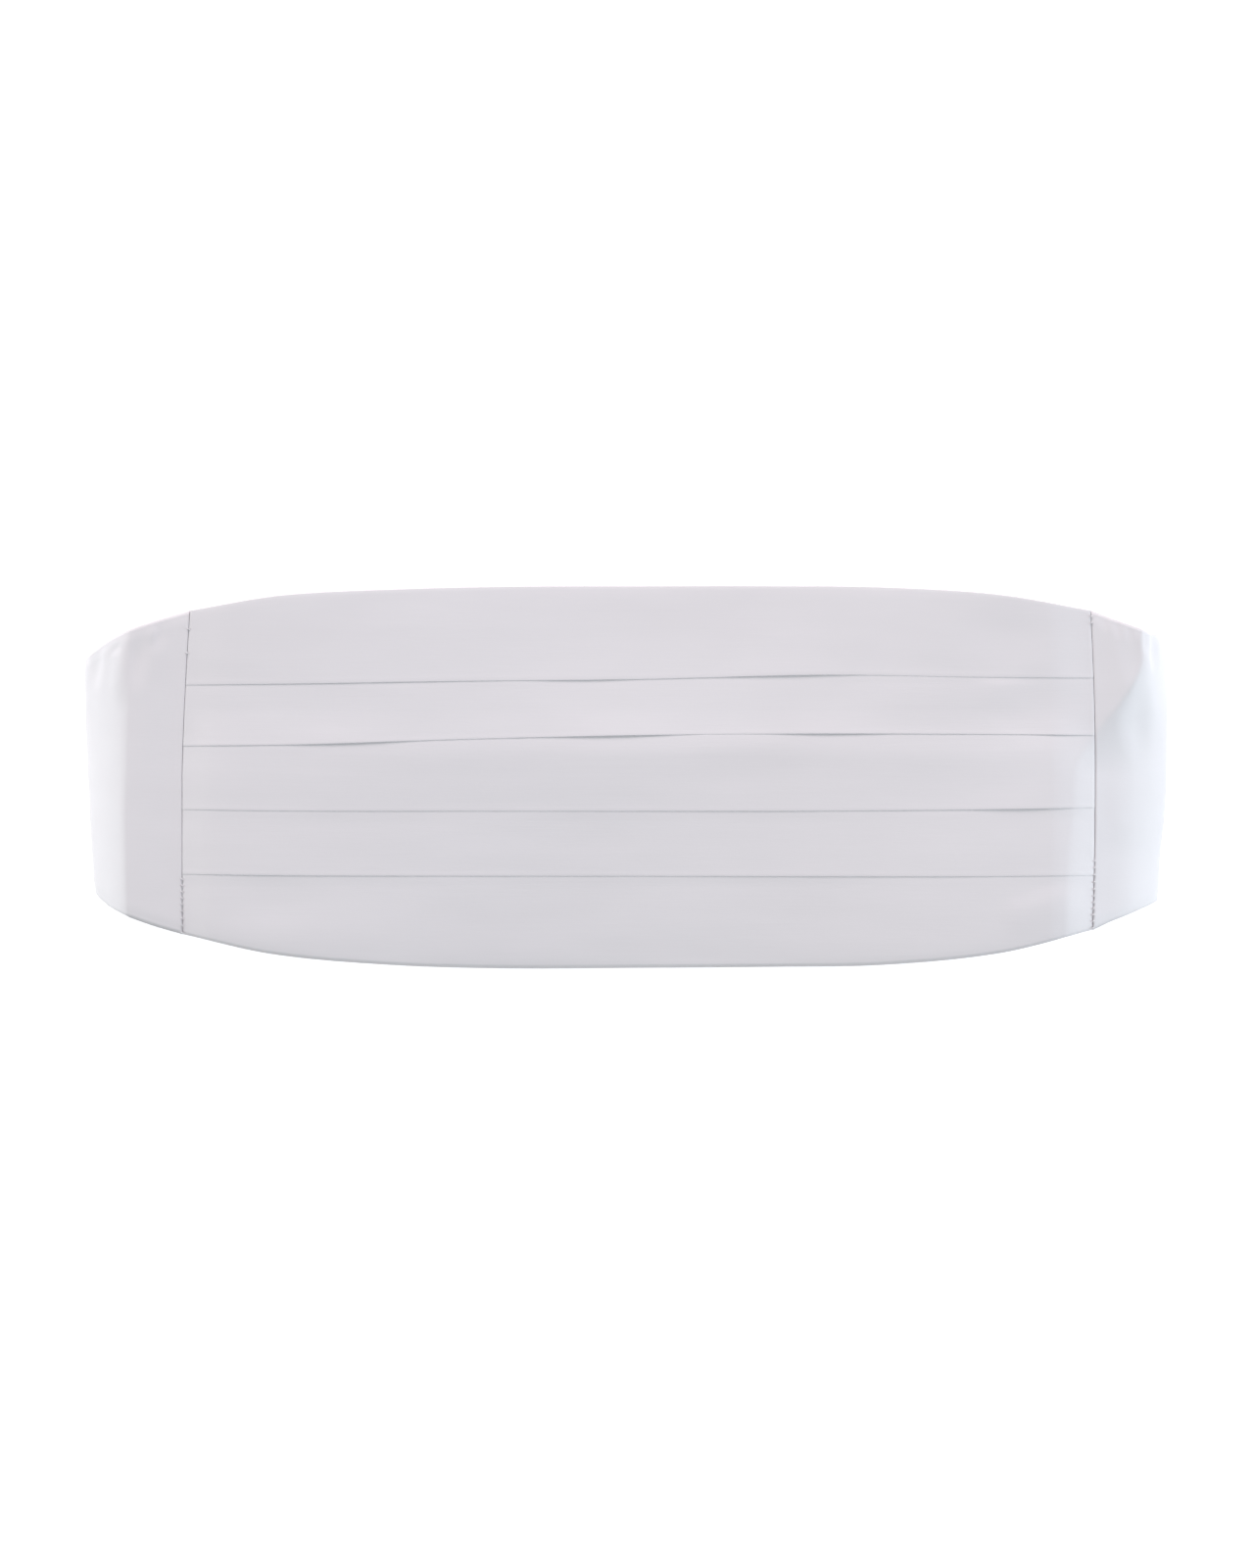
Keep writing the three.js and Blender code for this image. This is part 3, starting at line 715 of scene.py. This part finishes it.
def on_grid(grid, y, distance):
    """The grid's value between its rows and columns."""
    row = np.clip((y - PATH_ROWS[0]) / PATH_ROW_STEP, 0, len(PATH_ROWS) - LAST_CELL)
    col = np.clip(distance / PATH_STEP, 0, len(PATH_DISTANCES) - LAST_CELL)
    i, j = row.astype(int), col.astype(int)
    u, v = row - i, col - j
    near = mix(grid[i, j], grid[i, j + 1], v)
    far = mix(grid[i + 1, j], grid[i + 1, j + 1], v)
    return mix(near, far, u)


TAB_ROWS = 96
TAB_STEPS = 150
TAB_HEM_WIDTH = 4.0  # the tab's wall thins to its hem over this width
HEM_TOP_SHARE = 0.6  # share of a hem's thinning that stays off the outer face
DIRECTION_STEP = 0.4
# height, lengths along and across, seed
TAB_WAVES = [
    (0.14, 12, 34, 0),
    (0.05, 6, 11, 5),
]
TAB_SEED = {-1: 21.0, 1: 33.0}


def tab_waves(side, distance, y):
    """The soft unevenness of a tab's cloth."""
    return sum(
        height * cloudy(distance, y, np.zeros(y.shape), along, across, TAB_SEED[side] + seed)
        for height, along, across, seed in TAB_WAVES
    )


def end_tab(side):
    """A tab as a piece, and where its narrow end is along the sash."""
    grid_x, grid_z = tab_grid(side)
    length = TAB_LENGTH - GAP
    inner_steps = np.linspace(SEAM_EDGE, length - SEAM_EDGE, TAB_STEPS + 1)
    upper_edge = HALF_HEIGHT * (FRONT_UPPER[0] if side < 0 else FRONT_UPPER[-1])
    lower_edge = -HALF_HEIGHT * (FRONT_LOWER[0] if side < 0 else FRONT_LOWER[-1])
    half = TAB_WALL / 2
    rows = []

    def ring_at(distance, thin):
        """One closed ring across the tab; thin is the share of its thickness that is left."""
        share = distance / length
        upper = mix(upper_edge, TAB_END_WIDTH / 2, float(table(TAPER_ALONG, UPPER_TAPER[side], share)))
        lower = mix(lower_edge, -TAB_END_WIDTH / 2, float(table(TAPER_ALONG, LOWER_TAPER[side], share)))
        round_y = HEM_WALL / 2
        shares = np.linspace(0, 1, TAB_ROWS + 1)
        edge = round_y + (upper - lower - 2 * round_y) * shares
        y_flat = lower + edge
        from_edge = np.minimum(edge, upper - lower - edge)
        # The wall thins from its full thickness to the rolled hem's at both edges.
        wall = mix(HEM_WALL / 2, half, smooth(from_edge, round_y, TAB_HEM_WIDTH)) * thin
        top = mix(wall, half * thin, HEM_TOP_SHARE)
        y = list(y_flat)
        offset = list(top)
        angles = np.linspace(math.pi / 2, -math.pi / 2, HEM_POINTS + 1)[1:-1]
        y += [upper - round_y + round_y * math.cos(a) for a in angles]
        offset += [wall[-1] * math.sin(a) for a in angles]
        y += list(y_flat[::-1])
        offset += list(-wall[::-1])
        y += [lower + round_y - round_y * math.cos(a) for a in angles[::-1]]
        offset += [wall[0] * math.sin(a) for a in angles]
        y, offset = np.array(y), np.array(offset)
        return y, offset, (y - lower) / (upper - lower)

    def add(distance, thin, place):
        y, offset, across = ring_at(distance, thin)
        d = np.full(y.shape, place)
        x, z = on_grid(grid_x, y, d), on_grid(grid_z, y, d)
        ahead, behind = np.minimum(d + DIRECTION_STEP, length), np.maximum(d - DIRECTION_STEP, 0)
        tx = on_grid(grid_x, y, ahead) - on_grid(grid_x, y, behind)
        tz = on_grid(grid_z, y, ahead) - on_grid(grid_z, y, behind)
        blend = float(smooth(place, 0, SEAM_BLEND))
        out_x, out_z = -tz * blend, mix(np.hypot(tx, tz), tx, blend)
        size = np.hypot(out_x, out_z)
        out_x, out_z = out_x / size, out_z / size
        along = place / length
        sunk = float(dip_at(place)) + sum(
            PUCKER_DEPTH * deep * dent_share((along - at) / long, (across - over) / wide)
            for which, at, over, long, wide, deep in PUCKERS + FINE_PUCKERS
            if which == side
        )
        level = -half - sunk + tab_waves(side, d, y) + offset
        rows.append(np.stack([side * (x + out_x * level), y, z + out_z * level], 1))

    for k in range(SEAM_EDGE_STEPS, 0, -1):
        angle = math.pi / 2 * k / SEAM_EDGE_STEPS
        place = SEAM_EDGE * (1 - math.sin(angle))
        add(place, math.cos(angle), place)
    for place in inner_steps:
        add(place, 1.0, place)
    for k in range(1, SEAM_EDGE_STEPS + 1):
        angle = math.pi / 2 * k / SEAM_EDGE_STEPS
        place = length - SEAM_EDGE * (1 - math.sin(angle))
        add(place, math.cos(angle), place)
    count = len(rows[0])
    faces = ring_faces(len(rows), count)
    name = "satin_end_tab_left" if side < 0 else "satin_end_tab_right"
    piece = make_mesh(name, np.concatenate(rows), faces, SATIN)
    close_ends(piece)
    narrow_end = side * float(on_grid(grid_x, np.array([0.0]), np.array([float(TAB_LENGTH)]))[0])
    return piece, narrow_end


# Straps and clasp. How many points each stretch of a strap's line has
LAP_STEPS = 12
DROP_STEPS = 16
RUN_STEPS = 60
TURN_STEPS = 12
RISE_STEPS = 10
SEWN_STEPS = 6


def strap_line(start, side, middle):
    """A strap's middle line, from inside the tab to the clasp's bar, round it and back."""
    low = STRAP_WALL / 2
    in_tab = TAB_WALL + GAP + low
    drop_start = start - STRAP_LAP - STRAP_FLAT
    drop_end = drop_start - STRAP_DROP
    clasp_bottom = STRAP_WALL + GAP
    turn = (CLASP_WALL + STRAP_WALL) / 2 + GAP
    turn_x = CLASP_LENGTH / 2 - BAR_WIDTH
    turn_z = clasp_bottom + CLASP_WALL / 2
    sewn_z = low + STRAP_WALL + GAP
    bar_end = turn_x + BAR_WIDTH
    sewn_start = turn_x + STRAP_RETURN - STRAP_SEWN
    points = [(start, in_tab)]

    def go(to_x, to_z, steps):
        """Eases the line to a new place; a stretch that keeps its height stays straight."""
        from_x, from_z = points[-1]
        for k in range(1, steps + 1):
            t = k / steps
            points.append((mix(from_x, to_x, t), mix(from_z, to_z, t * t * (3 - 2 * t))))

    go(drop_start, in_tab, LAP_STEPS)
    go(drop_end, low, DROP_STEPS)
    go(turn_x, low, RUN_STEPS)
    for k in range(1, TURN_STEPS + 1):
        angle = -math.pi / 2 - math.pi * k / TURN_STEPS
        points.append((turn_x + turn * math.cos(angle), turn_z + turn * math.sin(angle)))
    points.append((bar_end, turn_z + turn))
    go(sewn_start, sewn_z, RISE_STEPS)
    go(turn_x + STRAP_RETURN, sewn_z, SEWN_STEPS)
    return np.array([(side * x + middle, z) for x, z in points])


RIBS = 15
RIB_STEPS = 4
RIB_DEPTH = 0.06
STRAP_EDGE = 0.04  # share of a strap's half width over which its edge is rounded


def webbing(name, line):
    """A strap with rounded edges and raised lengthwise ribs."""
    tangent = np.gradient(line, axis=0)
    tangent /= np.linalg.norm(tangent, axis=1)[:, None]
    normal = np.stack([-tangent[:, 1], tangent[:, 0]], 1)
    half_w, half_t = STRAP_WIDTH / 2, STRAP_WALL / 2
    across = np.linspace(-1, 1, RIBS * RIB_STEPS + 1)
    rib = RIB_DEPTH * (np.cos(across * RIBS * math.pi) - 1)
    into_edge = np.maximum(0, (np.abs(across) - (1 - STRAP_EDGE)) / STRAP_EDGE)
    round_off = np.sqrt(np.maximum(0, 1 - into_edge**2))
    thick = (half_t + rib) * round_off
    ring_y = np.concatenate([across * half_w, across[::-1][1:-1] * half_w])
    ring_t = np.concatenate([thick, -thick[::-1][1:-1]])
    rows = []
    for p, n in zip(line, normal):
        rows.append(np.stack([p[0] + n[0] * ring_t, ring_y, p[1] + n[1] * ring_t], 1))
    ends = []
    for row, p in ((rows[0], line[0]), (rows[-1], line[-1])):
        flat = row.copy()
        flat[:, 0], flat[:, 2] = p
        ends.append(flat)
    rows = [ends[0]] + rows + [ends[1]]
    piece = make_mesh(name, np.concatenate(rows), ring_faces(len(rows), len(ring_y)), WEBBING)
    close_ends(piece)
    return piece


# Stitches that bridge the seams, where the photograph shows them
STITCH_STEP = 2.1
STITCH_LENGTH = 1.0
STITCH_ROUND = 0.15
STITCH_SLANT = 0.5
STITCH_RISE = 0.3
STITCH_STRAY = 0.25  # how far a stitch may be from its even place
STITCH_STRAY_TURN = 7.0
STITCH_TIP = 0.01
STITCH_SIDES = 8
STITCH_RINGS = 9
STITCH_ROWS = {-1: [(-48.5, -31.0), (39.0, 41.0), (46.5, 48.5)], 1: [(-47.5, -24.5), (48.0, 51.0)]}


def seam_stitches(side):
    """One mesh of short slanted stitches along a seam's dark line."""
    points, faces = [], []
    for low, high in STITCH_ROWS[side]:
        for k in range(int((high - low) / STITCH_STEP) + 1):
            y = low + k * STITCH_STEP + STITCH_STRAY * math.sin(STITCH_STRAY_TURN * k + side)
            middle_x = float(seam_x(side, y))
            top = float(face_height(np.array(middle_x), np.array(y)))
            run = np.array([side * STITCH_LENGTH / 2, STITCH_SLANT * STITCH_LENGTH / 2])
            aside = np.array([-run[1], run[0]]) / np.hypot(*run)
            start = len(points)
            for t in np.linspace(-1, 1, STITCH_RINGS):
                thick = STITCH_ROUND * math.sqrt(max(0.0, 1 - t**4)) + STITCH_TIP
                rise = STITCH_RISE * (1 - t * t)
                for turn in np.linspace(0, 2 * math.pi, STITCH_SIDES, endpoint=False):
                    off = thick * math.cos(turn) * aside
                    points.append((
                        middle_x + run[0] * t + off[0],
                        y + run[1] * t + off[1],
                        top + rise + thick * math.sin(turn),
                    ))
            for face in ring_faces(STITCH_RINGS, STITCH_SIDES):
                faces.append(tuple(start + corner for corner in face))
            faces.append(tuple(range(start + STITCH_SIDES - 1, start - 1, -1)))
            faces.append(tuple(range(len(points) - STITCH_SIDES, len(points))))
    name = "seam_stitches_left" if side < 0 else "seam_stitches_right"
    return make_mesh(name, points, faces, THREAD)


front = pleated_front()
stitches = [seam_stitches(-1), seam_stitches(1)]
tab_left, left_end = end_tab(-1)
tab_right, right_end = end_tab(1)

clasp_middle = (left_end + right_end) / 2
half_span = (right_end - left_end) / 2 + STRAP_LAP
strap_left = webbing("elastic_strap_left", strap_line(half_span, -1, clasp_middle))
strap_right = webbing("elastic_strap_right", strap_line(half_span, 1, clasp_middle))

CLASP_EDGE = 0.5
CLASP_EDGE_STEPS = 3
CLASP_EDGE_ANGLE = 50  # degrees from which an edge is rounded

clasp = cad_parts["clasp"]
clasp.data.materials.clear()
clasp.data.materials.append(PLASTIC)
bevel = clasp.modifiers.new("soft_edges", "BEVEL")
bevel.width = CLASP_EDGE * MM
bevel.segments = CLASP_EDGE_STEPS
bevel.limit_method = "ANGLE"
bevel.angle_limit = math.radians(CLASP_EDGE_ANGLE)

for piece in (front, tab_left, tab_right, strap_left, strap_right, *stitches):
    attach(piece, "root")
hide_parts("pleated_front")
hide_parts("end_tab_left")
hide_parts("end_tab_right")
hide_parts("back_strap_left")
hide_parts("back_strap_right")

# Floor and light, in metres and watts
FLOOR_CORNERS = [(-8, -8, 0), (8, -8, 0), (8, 8, 0), (-8, 8, 0)]
FLOOR_DROP = 0.0003  # keeps the floor just under the cloth
PAPER_LOW = (0.93, 0.93, 0.93)
PAPER_HIGH = (0.95, 0.95, 0.95)
LIGHT_AIM = (0, 0, 0.02)

floor_mesh = bpy.data.meshes.new("floor")
floor_mesh.from_pydata(FLOOR_CORNERS, [], [(0, 1, 2, 3)])
floor = bpy.data.objects.new("floor", floor_mesh)
bpy.context.scene.collection.objects.link(floor)
floor.location.z = -FLOOR_DROP
paper, paper_nodes, paper_links, paper_shader = new_material("pale_paper")
paper_noise = add_node(paper_nodes, "ShaderNodeTexNoise", in_Scale=1.0, in_Detail=3.0)
paper_links.new(mapped(paper_nodes, paper_links, (3, 3, 3)), paper_noise.inputs["Vector"])
paper_color = ramp_color(paper_nodes, paper_links, paper_noise.outputs["Fac"], PAPER_LOW, PAPER_HIGH)
paper_links.new(paper_color, paper_shader.inputs["Base Color"])
paper_shader.inputs["Roughness"].default_value = 0.9
paper_shader.inputs["Specular IOR Level"].default_value = 0.1
paper_shader.inputs["Emission Color"].default_value = (1, 1, 1, 1)
paper_shader.inputs["Emission Strength"].default_value = 0.4
floor_mesh.materials.append(paper)

world = bpy.data.worlds.new("studio")
bpy.context.scene.world = world
world.use_nodes = True
background = world.node_tree.nodes["Background"]
background.inputs["Color"].default_value = (1, 1, 1, 1)
background.inputs["Strength"].default_value = 0.31


def soft_light(name, place, size, power, color):
    data = bpy.data.lights.new(name, "AREA")
    data.shape = "RECTANGLE"
    data.size, data.size_y = size
    data.energy = power
    data.color = color
    lamp = bpy.data.objects.new(name, data)
    bpy.context.scene.collection.objects.link(lamp)
    lamp.location = place
    lamp.rotation_euler = (Vector(LIGHT_AIM) - Vector(place)).to_track_quat("-Z", "Y").to_euler()
    lamp.visible_camera = False


# name, place, size, power and colour
soft_light("top_light", (-0.2, 1.9, 0.9), (2.6, 1.0), 49.3, (1.0, 0.925, 0.95))
soft_light("left_light", (-1.55, 0.0, 0.5), (0.6, 1.6), 15.4, (0.84, 0.98, 0.98))
soft_light("right_light", (1.32, -0.15, 0.56), (0.5, 1.2), 14.3, (0.79, 0.94, 1.0))
soft_light("low_fill", (0.0, -1.8, 0.35), (2.6, 0.5), 7, (1.0, 1.0, 1.0))

bpy.context.scene.view_settings.view_transform = "Standard"
